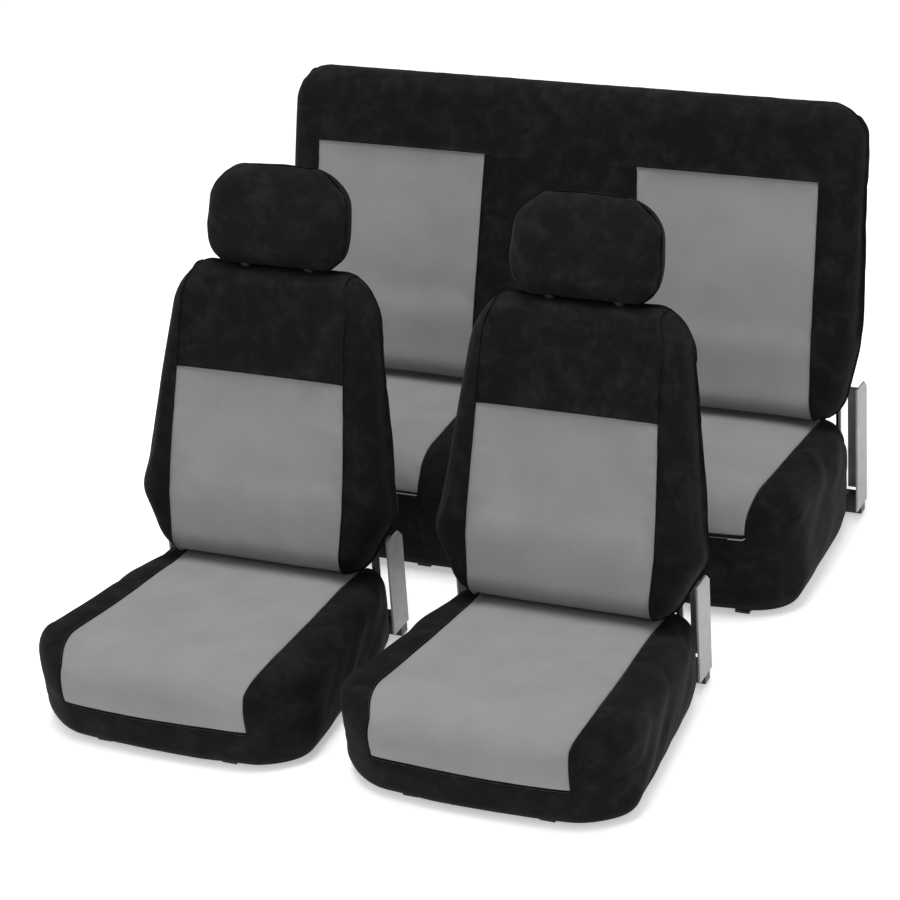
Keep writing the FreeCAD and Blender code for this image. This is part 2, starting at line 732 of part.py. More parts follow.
def head_pieces():
    base = head_base()
    skin, void, foam = [block(f"head_{name}", head_side(), "XZ_Plane", head_face(),
                              "head_round", inset)
                        for name, inset in (("skin", "0"), ("void", "cover"),
                                            ("foam", "cover + ease"))]
    mouth = box("head_mouth", "-head_mouth_reach", "head_mouth_reach", "-head_mouth_half",
                "head_mouth_half", f"{base} - cut_past", f"{base} + 2 * cover")
    hollow = combined("Fuse", "head_hollow", void, mouth)
    front_half = box("head_front_half", "-beyond", "beyond", "-beyond", "-head_seam", "0",
                     "beyond")
    flap = box("head_flap", "-head_mouth_reach", "head_mouth_reach", "-head_closure_half",
               "head_closure_half", f"{base} + cover", f"{base} + cover + closure_thick")
    flap_room = box("head_flap_room", "-beyond", "beyond", "-beyond", "beyond", "0",
                    f"{base} + cover + closure_thick + ease")
    room = head_posts("head_post_room", "ease")
    trimmed = combined("Cut", "head_foam_over_flap", foam, flap_room)
    pieces = {"headrest_cover_front": combined("Common", "head_front_panel", skin, front_half),
              "headrest_cover_rear": combined("Cut", "head_rear_panel", skin, front_half)}
    pieces = hollowed(pieces, [hollow])
    pieces["headrest_posts"] = head_posts("head_posts", "0")
    pieces["headrest_core"] = combined("Cut", "head_core", trimmed, room)
    pieces["headrest_closure"] = combined("Cut", "head_closure", flap, room)
    return pieces


# whole seats

def seat_pieces(k, skid_reaches, strap_reaches):
    """Every piece of one seat in its own frame: those that stand, and those that lean."""
    skin, void, foam = cushion_blocks(k)
    standing = {"base_frame": base_frame(k, skid_reaches),
                "seat_pan": seat_pan(k),
                "cushion_core": cushion_core(k, foam),
                "cushion_hem_elastic": hem_elastic(k),
                "cushion_straps": hem_straps(k, strap_reaches),
                "hinge_brackets": hinge_brackets(k),
                "hinge_covers": hinge_covers(k)}
    pad_panels = front_cushion_panels if k == "front" else bench_cushion_panels
    standing.update(hollowed(pad_panels(skin), [cushion_hollow(k, void)]))
    skin, void, foam = backrest_blocks(k)
    tools = [backrest_hollow(k, void), bracket_slots(k)]
    bars = frame_bars(k, "bars", "0")
    core = backrest_core(k, foam, frame_bars(k, "room", "ease"))
    frame = backrest_frame(k, bars)
    leaning = {"backrest_closure": closure(k)}
    if k == "front":
        room = guide_room()
        core = combined("Cut", "front_core_with_bores", core, room)
        frame = combined("Cut", "front_frame_with_bores", frame, room)
        leaning["headrest_guides"] = head_guides()
        leaning.update(head_pieces())
        leaning.update(hollowed(front_backrest_panels(skin), tools + [room]))
    else:
        leaning.update(hollowed(bench_backrest_panels(skin), tools))
    leaning["backrest_core"] = core
    leaning["backrest_frame"] = frame
    return standing, leaning


def placed_seat(label, k, x, y, standing, leaning):
    for name, feature in standing.items():
        set_in_place(feature, f"{label}_{name}", x, y)
    for name, feature in leaning.items():
        set_in_place(feature, f"{label}_{name}", x, y, axis_height(k), f"{k}_lean")


# The set reaches from the front of the front cushions to the top edge of the bench's back.
SET_BACK = "(row_pitch + bench_rise * sin(bench_lean * 1deg) + bench_top_back)"
FRONT_ROW = f"(front_depth - {SET_BACK}) / 2"
BENCH_ROW = f"{FRONT_ROW} + row_pitch"

front_pieces = seat_pieces("front", ["front_skid_reach"], ["strap_reach", "-strap_reach"])
placed_seat("left", "front", "-seat_spacing / 2", FRONT_ROW, *front_pieces)
placed_seat("right", "front", "seat_spacing / 2", FRONT_ROW, *front_pieces)
bench_pieces = seat_pieces("bench", ["2 * strap_reach", "7 * strap_reach"],
                           ["-6 * strap_reach", "0", "6 * strap_reach"])
placed_seat("rear_bench", "bench", "0", BENCH_ROW, *bench_pieces)

document.recompute()

for feature in document.Objects:
    if "Invalid" in feature.State or "Error" in feature.State:
        raise RuntimeError(f"{feature.Name} did not build: {feature.State}")
for piece in subparts:
    if piece.Shape.isNull() or not piece.Shape.isValid() or not piece.Shape.Solids:
        raise RuntimeError(f"{piece.Label} has no valid solid")

os.makedirs("parts", exist_ok=True)
for piece in subparts:
    piece.Shape.exportStep(f"parts/{piece.Label}.step")
    print(f"{piece.Label}: {len(piece.Shape.Solids)} solid(s), {piece.Shape.Volume / 1000:.1f} cm3")
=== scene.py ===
import bmesh
import bpy
import json
import math
import numpy as np
from mathutils import Matrix, Vector, noise


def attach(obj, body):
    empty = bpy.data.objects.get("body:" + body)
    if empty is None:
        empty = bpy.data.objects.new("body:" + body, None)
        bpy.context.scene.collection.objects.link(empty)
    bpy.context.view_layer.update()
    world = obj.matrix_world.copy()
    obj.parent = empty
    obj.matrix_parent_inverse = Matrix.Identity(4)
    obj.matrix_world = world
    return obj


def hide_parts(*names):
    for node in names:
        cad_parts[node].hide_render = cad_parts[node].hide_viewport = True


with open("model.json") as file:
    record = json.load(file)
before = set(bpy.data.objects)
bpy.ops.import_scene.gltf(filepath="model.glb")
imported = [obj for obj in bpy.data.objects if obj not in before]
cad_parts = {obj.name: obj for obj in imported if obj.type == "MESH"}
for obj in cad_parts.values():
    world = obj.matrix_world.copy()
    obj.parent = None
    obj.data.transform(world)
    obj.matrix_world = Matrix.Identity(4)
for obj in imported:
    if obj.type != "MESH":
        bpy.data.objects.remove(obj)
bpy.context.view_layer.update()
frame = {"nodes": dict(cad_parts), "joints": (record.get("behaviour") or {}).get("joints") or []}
joints = {joint["name"]: joint for joint in frame["joints"]}
scene = bpy.context.scene
mm = 0.001


# Materials

def toLinear(hexColour):
    parts = [int(hexColour[i:i + 2], 16) / 255 for i in (1, 3, 5)]
    return [p / 12.92 if p <= 0.04045 else ((p + 0.055) / 1.055) ** 2.4 for p in parts] + [1]


def addNode(tree, kind, settings=None, inputs=None, links=None, stops=()):
    node = tree.nodes.new("ShaderNode" + kind)
    for name, value in (settings or {}).items():
        setattr(node, name, value)
    for name, value in (inputs or {}).items():
        node.inputs[name].default_value = value
    for name, source in (links or {}).items():
        tree.links.new(source, node.inputs[name])
    for n, (position, colour) in enumerate(stops):  # a ramp starts with two stops, the rest are added
        held = node.color_ramp.elements
        stop = held[n] if n < 2 else held.new(position)
        stop.position, stop.color = position, toLinear(colour)
    return node


def newMaterial(name, shader):
    made = bpy.data.materials.new(name)
    made.use_nodes = True
    tree = made.node_tree
    tree.nodes.clear()
    body = addNode(tree, "BsdfPrincipled", inputs=shader)
    addNode(tree, "OutputMaterial", links={"Surface": body.outputs["BSDF"]})
    place = addNode(tree, "TexCoord").outputs["Object"]
    return made, tree, body, place


def perMetre(sizeMm):
    return 1000 / sizeMm


def waveScale(sizeMm):
    return perMetre(sizeMm) * math.pi / 20  # one raised band and one gap take two sizes


velour = {"deep": "#050505", "pile": "#0b0b0b", "brushed": "#1a1a19", "patchMm": 46, "streakMm": 11,
          "pileMm": 2.4, "roughness": 0.94, "specular": 0.14, "sheen": 0.06, "tint": "#8e8e8c"}


# Warp-knitted polyester velour, brushed: the short pile lies in soft patches that catch the light
def velourMaterial(name, cfg):
    made, tree, body, place = newMaterial(name, {
        "Roughness": cfg["roughness"], "Specular IOR Level": cfg["specular"], "Sheen Weight": cfg["sheen"],
        "Sheen Roughness": 0.42, "Sheen Tint": toLinear(cfg["tint"])})
    patches = addNode(tree, "TexNoise", links={"Vector": place}, inputs={
        "Scale": perMetre(cfg["patchMm"]), "Detail": 5.0, "Roughness": 0.62, "Distortion": 0.5})
    streaks = addNode(tree, "TexNoise", links={"Vector": place}, inputs={
        "Scale": perMetre(cfg["streakMm"]), "Detail": 3.0, "Roughness": 0.6})
    lay = addNode(tree, "Math", {"operation": "MULTIPLY_ADD"}, {1: 0.35},
                  {0: streaks.outputs["Fac"], 2: patches.outputs["Fac"]})
    colour = addNode(tree, "ValToRGB", links={"Fac": lay.outputs["Value"]},
                     stops=[(0.42, cfg["deep"]), (0.66, cfg["pile"]), (0.95, cfg["brushed"])])
    pile = addNode(tree, "TexNoise", links={"Vector": place}, inputs={
        "Scale": perMetre(cfg["pileMm"]), "Detail": 2.0})  # real pile is 0.3 mm, drawn coarser so that it shows
    fine = addNode(tree, "Bump", inputs={"Strength": 0.3, "Distance": 0.6 * mm},
                   links={"Height": pile.outputs["Fac"]})
    soft = addNode(tree, "Bump", inputs={"Strength": 0.35, "Distance": 2 * mm},
                   links={"Height": patches.outputs["Fac"], "Normal": fine.outputs["Normal"]})
    tree.links.new(colour.outputs["Color"], body.inputs["Base Color"])
    tree.links.new(soft.outputs["Normal"], body.inputs["Normal"])
    return made


knit = {"low": "#777876", "loop": "#7b7c7a", "high": "#80817f", "ribMm": 2.6, "mottleMm": 90,
        "roughness": 0.9, "specular": 0.25, "sheen": 0.05, "tint": "#d8d8d6"}


# Flat-knitted polyester: even loops in ribs, dry and matte, slightly uneven in tone
def knitMaterial(name, cfg):
    made, tree, body, place = newMaterial(name, {
        "Roughness": cfg["roughness"], "Specular IOR Level": cfg["specular"], "Sheen Weight": cfg["sheen"],
        "Sheen Roughness": 0.5, "Sheen Tint": toLinear(cfg["tint"])})
    ribs = [addNode(tree, "TexWave", {"bands_direction": direction}, links={"Vector": place}, inputs={
        "Scale": waveScale(cfg["ribMm"]), "Distortion": wander, "Detail": 1.0, "Detail Scale": 2.0})
        for direction, wander in (("X", 0.6), ("DIAGONAL", 0.8))]  # loops are 0.9 mm, drawn coarser to show
    loops = addNode(tree, "Math", {"operation": "MULTIPLY"},
                    links={0: ribs[0].outputs["Fac"], 1: ribs[1].outputs["Fac"]})
    mottle = addNode(tree, "TexNoise", links={"Vector": place}, inputs={
        "Scale": perMetre(cfg["mottleMm"]), "Detail": 4.0})
    tone = addNode(tree, "Math", {"operation": "MULTIPLY_ADD"}, {1: 0.25},
                   {0: loops.outputs["Value"], 2: mottle.outputs["Fac"]})
    colour = addNode(tree, "ValToRGB", links={"Fac": tone.outputs["Value"]},
                     stops=[(0.3, cfg["low"]), (0.55, cfg["loop"]), (0.85, cfg["high"])])
    relief = addNode(tree, "Bump", inputs={"Strength": 0.25, "Distance": 0.5 * mm},
                     links={"Height": loops.outputs["Value"]})
    tree.links.new(colour.outputs["Color"], body.inputs["Base Color"])
    tree.links.new(relief.outputs["Normal"], body.inputs["Normal"])
    return made


# Moulded plastic has a fine spark-eroded grain; paint, zinc and chrome have larger, softer spots
hardFinishes = {
    "aluminiumGreyAbsMoulded": {"base": "#96979a", "worn": "#8a8b8d", "metal": 0.0, "rough": 0.42,
                                "grainMm": 1.6, "bump": 0.15},  # even, satin, light
    "blackSatinPaintSteel": {"base": "#161616", "worn": "#242424", "metal": 0.2, "rough": 0.4,
                             "grainMm": 3, "bump": 0.12},  # dark with a soft edge light
    "hotDipZincSteel": {"base": "#9da1a3", "worn": "#7c8082", "metal": 1.0, "rough": 0.48,
                        "grainMm": 14, "bump": 0.1},  # dull grey in large spangles
    "chromePlatedSteel": {"base": "#dadcdd", "worn": "#c4c6c7", "metal": 1.0, "rough": 0.12,
                          "grainMm": 4, "bump": 0.02},  # bright, with sharp reflections
    "blackMouldedPolypropylene": {"base": "#151515", "worn": "#202020", "metal": 0.0, "rough": 0.5,
                                  "grainMm": 1.2, "bump": 0.2},  # flat black, finely grained
}
wearMm = 35
roughSpread = 0.07


def hardMaterial(name, cfg):
    made, tree, body, place = newMaterial(name, {"Metallic": cfg["metal"]})
    grain = addNode(tree, "TexNoise", links={"Vector": place}, inputs={
        "Scale": perMetre(cfg["grainMm"]), "Detail": 4.0})
    wear = addNode(tree, "TexNoise", links={"Vector": place}, inputs={"Scale": perMetre(wearMm), "Detail": 3.0})
    colour = addNode(tree, "ValToRGB", links={"Fac": wear.outputs["Fac"]},
                     stops=[(0.35, cfg["worn"]), (0.65, cfg["base"])])
    rough = addNode(tree, "MapRange", links={"Value": grain.outputs["Fac"]}, inputs={
        "To Min": cfg["rough"] - roughSpread, "To Max": cfg["rough"] + roughSpread})
    relief = addNode(tree, "Bump", inputs={"Strength": cfg["bump"], "Distance": 0.4 * mm},
                     links={"Height": grain.outputs["Fac"]})
    tree.links.new(colour.outputs["Color"], body.inputs["Base Color"])
    tree.links.new(rough.outputs["Result"], body.inputs["Roughness"])
    tree.links.new(relief.outputs["Normal"], body.inputs["Normal"])
    return made


webbing = {"yarn": "#171717", "lift": "#2b2b2a", "yarnMm": 1.8}
seamThread = {"yarn": "#1c1c1c", "lift": "#3a3a39", "yarnMm": 1.2}


# Woven or spun polyester: tight yarns in rows, a little glossier along each yarn
def yarnMaterial(name, cfg):
    made, tree, body, place = newMaterial(name, {
        "Roughness": 0.72, "Sheen Weight": 0.15, "Sheen Roughness": 0.4})
    yarns = addNode(tree, "TexWave", {"bands_direction": "DIAGONAL"}, {"Scale": waveScale(cfg["yarnMm"])},
                    {"Vector": place})
    colour = addNode(tree, "ValToRGB", links={"Fac": yarns.outputs["Fac"]},
                     stops=[(0.2, cfg["yarn"]), (0.9, cfg["lift"])])
    relief = addNode(tree, "Bump", inputs={"Strength": 0.5, "Distance": 0.5 * mm},
                     links={"Height": yarns.outputs["Fac"]})
    tree.links.new(colour.outputs["Color"], body.inputs["Base Color"])
    tree.links.new(relief.outputs["Normal"], body.inputs["Normal"])
    return made


blackVelour = velourMaterial("blackBrushedVelour", velour)
backingKnit = velourMaterial("blackTricotBacking", {  # the velour's plain side: flatter and more even
    **velour, "brushed": "#141414", "sheen": 0.08, "pileMm": 3.2, "patchMm": 80})
greyKnit = knitMaterial("greyFlatKnit", knit)
tape = yarnMaterial("blackPolyesterWebbing", webbing)
thread = yarnMaterial("charcoalSpunThread", seamThread)
hard = {name: hardMaterial(name, cfg) for name, cfg in hardFinishes.items()}
print("materials made")


# Curves and fades. In a padded form, across runs to both sides of the middle, along runs up a backrest
# or from nose to tail of a cushion, and deep runs through the thickness, all in millimetres.

def smoothCurve(xs, ys, reach):
    steps = 400
    half = int(steps * reach)
    fine = np.linspace(xs[0], xs[-1], steps + 1)
    table = np.interp(fine, xs, ys)
    longer = np.concatenate([2 * table[0] - table[half:0:-1], table, 2 * table[-1] - table[-2:-half - 2:-1]])
    window = np.hanning(2 * half + 3)[1:-1]
    smooth = np.convolve(longer, window / window.sum(), "valid")
    return lambda x: np.interp(x, fine, smooth)


def bump(x, low, high):
    t = np.clip((x - low) / (high - low), 0, 1)
    return np.sin(np.pi * t) ** 2


def step(x, low, high):
    t = np.clip((x - low) / (high - low), 0, 1)
    return t * t * (3 - 2 * t)


edgeLoops = 5
tightGap = 1.1  # least gap between loops where a seam runs close to the edge
seamShifts = (-10, -3.5, 0, 3.5, 10)  # loops beside a seam line


def edgeSteps(edge):  # distances from the side that come out even once they are bent round the edge
    return [edge * math.tan(math.radians(45) * i / edgeLoops) for i in range(edgeLoops, -1, -1)]


def lineUp(stops, spacing):
    out = [stops[0]]
    for near, far in zip(stops[:-1], stops[1:]):
        n = max(1, round((far - near) / spacing))
        out += [near + (far - near) * (i + 1) / n for i in range(n)]
    return out


def lineBetween(near, far, t):
    return lambda x: near(x) * (1 - t) + far(x) * t


def shifted(line, shift):
    return lambda x: line(x) + shift


# Columns are pairs of lines, one on the front face and one on the rear: seam lines wander along the form,
# and the columns between them share the width out
def makeColumns(cfg, seams, spacing):
    def middle(x):
        return 0 * x

    def edgeLine(last, inset, n):
        return lambda x: np.maximum(cfg["half"](x) * (1 - inset / cfg["wide"]), last(x) + (n + 1) * tightGap)

    stops = [(middle, middle)]
    for front, rear, shifts in seams:
        stops += [(shifted(front, shift), shifted(rear, shift)) for shift in shifts]
    last = stops[-1]
    stops += [tuple(edgeLine(line, inset, n) for line in last) for n, inset in enumerate(edgeSteps(cfg["edge"]))]
    sample = np.array([(cfg["low"] + cfg["high"]) / 2])
    right, seamsAt = [stops[0]], []
    perSeam = len(seamShifts)
    for s in range(1, len(stops)):
        near, far = stops[s - 1], stops[s]
        n = max(1, round(float(far[0](sample)[0] - near[0](sample)[0]) / spacing))
        right += [tuple(lineBetween(near[f], far[f], (i + 1) / n) for f in (0, 1)) for i in range(n)]
        if s <= perSeam * len(seams) and s % perSeam == perSeam // 2 + 1:
            seamsAt.append(len(right) - 1)
    centre = len(right) - 1
    left = [tuple((lambda x, line=line: -line(x)) for line in column) for column in right[:0:-1]]
    cfg["columns"], cfg["seamsAt"], cfg["centre"] = left + right, [centre + s for s in seamsAt], centre


def makeRows(cfg, seams, spacing):
    steps = edgeSteps(cfg["edge"])
    beside = sorted(seam + shift for seam in seams for shift in seamShifts)
    cfg["rows"] = lineUp(sorted(cfg["low"] + s for s in steps) + beside + sorted(cfg["high"] - s for s in steps),
                         spacing)


def makeLevels(cfg, seams, spacing):
    steps = edgeSteps(cfg["edge"])
    cfg["levels"] = lineUp(sorted(s - cfg["thick"] for s in steps) + sorted(seams)
                           + sorted(cfg["thick"] - s for s in steps), spacing)


def nearest(values, target):
    return min(range(len(values)), key=lambda n: abs(values[n] - target))


# The skin of a block of cells: each face has its cell and a letter for its side, small letters on the high side
def lattice(nA, nB, nC):
    index, quads, cells = {}, [], []

    def at(i, j, k):
        return index.setdefault((i, j, k), len(index))

    for k in (0, nC - 1):
        for i in range(nA - 1):
            for j in range(nB - 1):
                ring = [at(i, j, k), at(i + 1, j, k), at(i + 1, j + 1, k), at(i, j + 1, k)]
                quads.append(ring if k else ring[::-1])
                cells.append((i, j, k, "c" if k else "C"))
    for j in (0, nB - 1):
        for i in range(nA - 1):
            for k in range(nC - 1):
                ring = [at(i, j, k), at(i + 1, j, k), at(i + 1, j, k + 1), at(i, j, k + 1)]
                quads.append(ring[::-1] if j else ring)
                cells.append((i, j, k, "b" if j else "B"))
    for i in (0, nA - 1):
        for j in range(nB - 1):
            for k in range(nC - 1):
                ring = [at(i, j, k), at(i, j + 1, k), at(i, j + 1, k + 1), at(i, j, k + 1)]
                quads.append(ring if i else ring[::-1])
                cells.append((i, j, k, "a" if i else "A"))
    return index, quads, cells


# Bends a box into a pad: first the four corners of its outline, then the edges all round
def roundBlock(across, along, deep, cfg):
    wide, low, high, thick, edge = cfg["wide"], cfg["low"], cfg["high"], cfg["thick"], cfg["edge"]
    corners = ((cfg["cornerHigh"], high, 1), (cfg["cornerLow"], low, -1))
    sideways = np.sign(across)
    across = np.abs(across)
    for corner, end, sense in corners:
        s = np.clip((across - (wide - corner)) / corner, 0, 1)
        t = np.clip((sense * (along - end) + corner) / corner, 0, 1)
        both = (s > 0) & (t > 0)
        across = np.where(both, wide - corner + corner * s * np.sqrt(1 - t * t / 2), across)
        along = np.where(both, end - sense * corner + sense * corner * t * np.sqrt(1 - s * s / 2), along)
    toSide, toHigh, toLow = wide - across, high - along, along - low
    gap = np.minimum(np.minimum(toSide, toHigh), toLow)
    nearHigh = (toHigh <= toSide) & (toHigh <= toLow)
    nearLow = (toLow <= toSide) & (toLow < toHigh)
    outAcross = np.where(nearHigh | nearLow, 0.0, 1.0)
    outAlong = np.where(nearHigh, 1.0, np.where(nearLow, -1.0, 0.0))
    for corner, end, sense in corners:
        fromSide, fromEnd = across - (wide - corner), sense * (along - end) + corner
        inside = (fromSide > 0) & (fromEnd > 0)
        reach = np.maximum(np.hypot(fromSide, fromEnd), 1e-9)
        gap = np.where(inside, corner - reach, gap)
        outAcross = np.where(inside, fromSide / reach, outAcross)
        outAlong = np.where(inside, sense * fromEnd / reach, outAlong)
    e = np.clip(1 - gap / edge, 0, 1)
    rise = np.clip((np.abs(deep) - (thick - edge)) / edge, 0, 1)
    pull = edge * (e - e * np.sqrt(1 - rise * rise / 2))
    bent = np.sign(deep) * (thick - edge + edge * rise * np.sqrt(1 - e * e / 2))
    return sideways * (across - outAcross * pull), along - outAlong * pull, np.where(rise > 0, bent, deep)


def seamVertices(mesh):
    tagsAt = [set() for _ in mesh.vertices]
    for face in mesh.polygons:
        for v in face.vertices:
            tagsAt[v].add(face.material_index)
    return np.array([len(tags) > 1 for tags in tagsAt])


# A form is one closed pad whose faces carry the number of their cover panel; faces with no panel come last
def makeForm(name, cfg, shape, panel):
    index, quads, cells = lattice(len(cfg["columns"]), len(cfg["rows"]), len(cfg["levels"]))
    i, j, k = np.array(sorted(index, key=index.get)).T
    along, deep = np.array(cfg["rows"])[j], np.array(cfg["levels"])[k]
    toRear = np.clip((deep + cfg["thick"]) / (2 * cfg["thick"]), 0, 1)
    across = np.zeros(len(i))
    for n, (front, rear) in enumerate(cfg["columns"]):
        here = i == n
        across[here] = front(along[here]) * (1 - toRear[here]) + rear(along[here]) * toRear[here]
    across = across / cfg["half"](along) * cfg["wide"]
    across, along, deep = roundBlock(across, along, deep, cfg)
    across = across / cfg["wide"] * cfg["half"](np.clip(along, cfg["low"], cfg["high"]))
    mesh = bpy.data.meshes.new(name)
    mesh.from_pydata((np.stack(shape(across, along, deep), 1) * mm).tolist(), [], quads)
    tags = [panel(*cell) for cell in cells]
    names = sorted(set(tag for tag in tags if tag))
    mesh.polygons.foreach_set("material_index", [names.index(tag) if tag else len(names) for tag in tags])
    made = bpy.data.objects.new(name, mesh)
    scene.collection.objects.link(made)
    return {"object": made, "panels": names, "index": index, "seam": seamVertices(mesh)}


def openUnder(form):
    mesh = form["object"].data
    bm = bmesh.new()
    bm.from_mesh(mesh)
    before = bm.verts.layers.int.new("before")
    for n, v in enumerate(bm.verts):
        v[before] = n
    bmesh.ops.delete(bm, geom=[f for f in bm.faces if f.material_index == len(form["panels"])], context="FACES")
    after = {v[before]: n for n, v in enumerate(bm.verts)}
    bm.to_mesh(mesh)
    bm.free()
    form["index"] = {key: after[n] for key, n in form["index"].items() if n in after}
    form["seam"] = seamVertices(mesh)


def coordinates(mesh):
    co = np.zeros(len(mesh.vertices) * 3)
    mesh.vertices.foreach_get("co", co)
    return co.reshape(-1, 3)


def normals(mesh):
    out = np.zeros(len(mesh.vertices) * 3)
    mesh.vertex_normals.foreach_get("vector", out)
    return out.reshape(-1, 3)


def moveTo(mesh, co):
    mesh.vertices.foreach_set("co", co.ravel())
    mesh.update()


# Filling the covers: cloth sewn down at its seams, pushed out from inside, for less than a second
cloth = {"pressure": 4.0, "frames": 16, "slack": -0.006, "quality": 5, "mass": 0.3, "stiffness": 15,
         "shear": 5, "bending": 0.6}


def swell(form, cfg):
    made = form["object"]
    rest = coordinates(made.data)
    foot = 1 - step(rest[:, 2], cfg["holdFrom"] * mm, cfg["holdTo"] * mm)
    held = np.clip(form["seam"] * cfg["holdSeams"] + foot * cfg["holdFoot"], 0, 1)
    group = made.vertex_groups.new(name="sewn")
    for v, weight in enumerate(held):
        group.add([v], float(weight), "REPLACE")
    sim = made.modifiers.new("swell", "CLOTH")
    sim.settings.quality = cloth["quality"]
    sim.settings.mass = cloth["mass"]
    sim.settings.tension_stiffness = cloth["stiffness"]
    sim.settings.compression_stiffness = cloth["stiffness"]
    sim.settings.shear_stiffness = cloth["shear"]
    sim.settings.bending_stiffness = cloth["bending"]
    sim.settings.use_pressure = True
    sim.settings.uniform_pressure_force = cloth["pressure"]
    sim.settings.shrink_min = cloth["slack"]
    sim.settings.vertex_group_mass = group.name
    sim.settings.effector_weights.gravity = 0
    sim.collision_settings.use_collision = False
    sim.point_cache.frame_start, sim.point_cache.frame_end = 1, cloth["frames"]
    for f in range(1, cloth["frames"] + 1):
        scene.frame_set(f)
    shaped = made.evaluated_get(bpy.context.evaluated_depsgraph_get())
    shift = coordinates(shaped.data) - rest
    made.modifiers.clear()
    made.vertex_groups.clear()
    scene.frame_set(1)
    far = np.maximum(np.linalg.norm(shift, axis=1), 1e-9)
    most = cfg["swellMm"] * mm  # far moves are eased down to this
    moveTo(made.data, rest + shift * (np.tanh(far / most) * most / far)[:, None])


def ruffle(mesh, layers):  # slack in the cloth: each layer is size and height in mm, and a seed
    co, out = coordinates(mesh), normals(mesh)
    lift = np.zeros(len(co))
    for sizeMm, heightMm, seed in layers:
        start = Vector((seed, seed * 2.3, 0))
        for v in range(len(co)):
            lift[v] += noise.noise(Vector(co[v]) * perMetre(sizeMm) + start) * heightMm * mm
    moveTo(mesh, co + out * lift[:, None])


def drape(mesh, cfg):  # long folds that run down the sides and front towards the hem
    co, out = coordinates(mesh), normals(mesh)
    lift = np.zeros(len(co))
    for v, (x, y, z) in enumerate(co):
        over = (y * cfg["slope"] - z) * perMetre(cfg["foldMm"])
        down = (y + z * cfg["slope"]) * perMetre(cfg["lengthMm"])
        ridge = noise.noise(Vector((over, down, x * 3 + cfg["seed"])))
        upright = 1 - out[v][2] ** 2
        lift[v] = ridge * cfg["heightMm"] * mm * upright * step(z, cfg["from"] * mm, cfg["full"] * mm)
    moveTo(mesh, co + out * lift[:, None])


def sink(form, depthMm):
    mesh = form["object"].data
    moveTo(mesh, coordinates(mesh) - normals(mesh) * (form["seam"] * depthMm * mm)[:, None])


def fillForm(form, cfg):
    mesh = form["object"].data
    swell(form, cfg)
    ruffle(mesh, cfg["ruffles"])
    if "folds" in cfg:
        drape(mesh, cfg["folds"])
    sink(form, cfg["seamMm"])


# Sewing: the form is cut into its panels, each edge is turned in, and stitches run along the seams

def refine(made):
    sub = made.modifiers.new("smooth", "SUBSURF")
    sub.levels = 1
    sub.boundary_smooth = "PRESERVE_CORNERS"
    mesh = bpy.data.meshes.new_from_object(made.evaluated_get(bpy.context.evaluated_depsgraph_get()))
    made.modifiers.clear()
    made.data = mesh


turnMm = 2.5


def cutPanel(whole, n, name):
    mesh = whole.copy()
    mesh.name = name
    bm = bmesh.new()
    bm.from_mesh(mesh)
    bmesh.ops.delete(bm, geom=[f for f in bm.faces if f.material_index != n], context="FACES")
    for f in bm.faces:
        f.material_index = 0
    bm.normal_update()
    outward = {v: v.normal.copy() for v in bm.verts}
    made = bmesh.ops.extrude_edge_only(bm, edges=[e for e in bm.edges if e.is_boundary])["geom"]
    for v in (g for g in made if isinstance(g, bmesh.types.BMVert)):
        beside = [e.other_vert(v) for e in v.link_edges if e.other_vert(v) in outward]
        source = min(beside, key=lambda other: (other.co - v.co).length)
        v.co = v.co - outward[source] * turnMm * mm
    bm.to_mesh(mesh)
    bm.free()
    return mesh


def placed(place, mirrored):
    return place @ (Matrix.Scale(-1, 4, (1, 0, 0)) if mirrored else Matrix())


def addPiece(mesh):
    for face in mesh.polygons:
        face.use_smooth = True
    piece = bpy.data.objects.new(mesh.name, mesh)
    scene.collection.objects.link(piece)
    return piece


stitch = {"pitch": 5.5 * mm, "length": 3.8 * mm, "radius": 0.55 * mm, "tip": 0.35}


def stitches(name, paths, turn):
    verts, faces = [], []
    for path, ups in paths:
        along = np.concatenate([[0], np.cumsum(np.linalg.norm(np.diff(path, axis=0), axis=1))])
        at = stitch["pitch"] / 2
        while at + stitch["length"] < along[-1]:
            start, end = [np.array([np.interp(s, along, path[:, x]) for x in range(3)])
                          for s in (at, at + stitch["length"])]
            up = np.array([np.interp(at, along, ups[:, x]) for x in range(3)])
            side = np.cross(end - start, up)
            side = side / max(np.linalg.norm(side), 1e-9) * stitch["radius"]
            lift = up * stitch["radius"]
            first = len(verts)
            middle = (start + end) / 2 + lift * 0.9
            for point, size in ((start, stitch["tip"]), (middle, 1.0), (end, stitch["tip"])):
                for s, u in ((-1, 0), (0, 1), (1, 0), (0, -1)):
                    verts.append(point + (side * s + lift * u) * size)
            for ring in (first, first + 4):
                for q in range(4):
                    r = (q + 1) % 4
                    faces.append([ring + q, ring + r, ring + 4 + r, ring + 4 + q])
            faces += [[first, first + 3, first + 2, first + 1], [first + 8, first + 9, first + 10, first + 11]]
            at += stitch["pitch"]
    mesh = bpy.data.meshes.new(name)
    mesh.from_pydata([turn @ Vector(v) for v in verts], [], faces)
    return addPiece(mesh)


def finishPiece(piece, material, body, slotName):
    piece.data.materials.clear()
    piece.data.materials.append(material)
    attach(piece, body)


knitFinish, backingFinish = (greyKnit, "grey_insert_knit"), (backingKnit, "black_backing_knit")
velourFinish = (blackVelour, "black_velour")
panelFinish = {"insert": knitFinish, "inserts": knitFinish}


